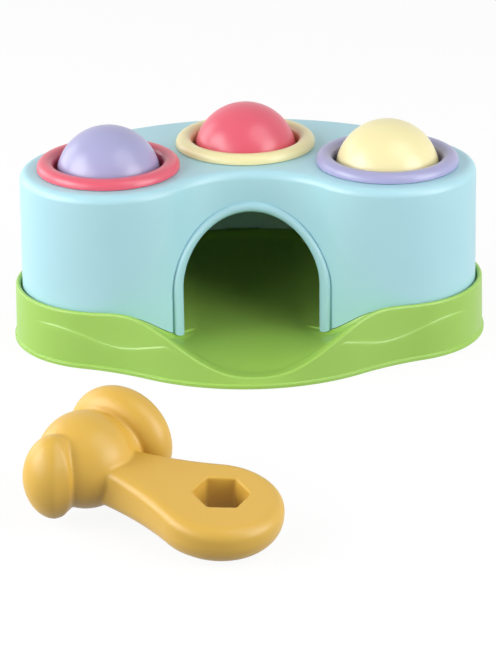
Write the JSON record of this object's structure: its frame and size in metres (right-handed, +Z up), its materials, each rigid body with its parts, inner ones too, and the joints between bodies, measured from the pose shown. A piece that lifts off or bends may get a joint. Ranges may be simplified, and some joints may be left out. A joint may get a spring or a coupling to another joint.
{
  "type": "ball pounding toy",
  "caption": "Toddler's pounding bench: a lobed housing with an arched doorway on a moulded tray, balls held in soft collars that drop through when struck, and a one-piece toy hammer.",
  "frame": {"origin": "on the ground plane midway between the two side ball holes, on the bearing pad under the tray", "axes": "+X to the right of a child facing the doorway, -Y out of the doorway towards the child, +Z up"},
  "size_m": [0.2312, 0.3322, 0.1043],
  "materials": {
    "housing_blue": "satin moulded",
    "base_green": "satin moulded",
    "collar_pink": "satin moulded",
    "collar_yellow": "satin moulded",
    "collar_lilac": "satin moulded",
    "grip_rubber": "soft matt",
    "ball_lilac": "satin moulded",
    "ball_pink": "satin moulded",
    "ball_yellow": "satin moulded",
    "screw_steel": "zinc plated",
    "hammer_amber": "satin moulded"
  },
  "bodies": {
    "bench": {"housing_shell": "housing_blue", "base_tray": "base_green", "collar_left": "collar_pink", "collar_middle": "collar_yellow", "collar_right": "collar_lilac", "grip_left": "grip_rubber", "grip_middle": "grip_rubber", "grip_right": "grip_rubber", "base_screw_1": "screw_steel", "base_screw_2": "screw_steel", "base_screw_3": "screw_steel", "base_screw_4": "screw_steel", "base_screw_5": "screw_steel", "base_screw_6": "screw_steel"},
    "ball_left": {"ball_left_upper": "ball_lilac", "ball_left_lower": "ball_lilac"},
    "ball_middle": {"ball_middle_upper": "ball_pink", "ball_middle_lower": "ball_pink"},
    "ball_right": {"ball_right_upper": "ball_yellow", "ball_right_lower": "ball_yellow"},
    "hammer": {"hammer": "hammer_amber"}
  },
  "joints": [
    {"name": "ball_left_drop", "type": "slide", "parent": "bench", "child": "ball_left", "axis": [0, 0, -1], "range_m": [-0.04, 0.037], "deforming": ["grip_left"]},
    {"name": "ball_middle_drop", "type": "slide", "parent": "bench", "child": "ball_middle", "axis": [0, 0, -1], "range_m": [-0.04, 0.0405], "deforming": ["grip_middle"]},
    {"name": "ball_right_drop", "type": "slide", "parent": "bench", "child": "ball_right", "axis": [0, 0, -1], "range_m": [-0.04, 0.037], "deforming": ["grip_right"]},
    {"name": "hammer_lift", "type": "slide", "parent": "bench", "child": "hammer", "axis": [0, 0, 1], "range_m": [0, 0.15]}
  ]
}
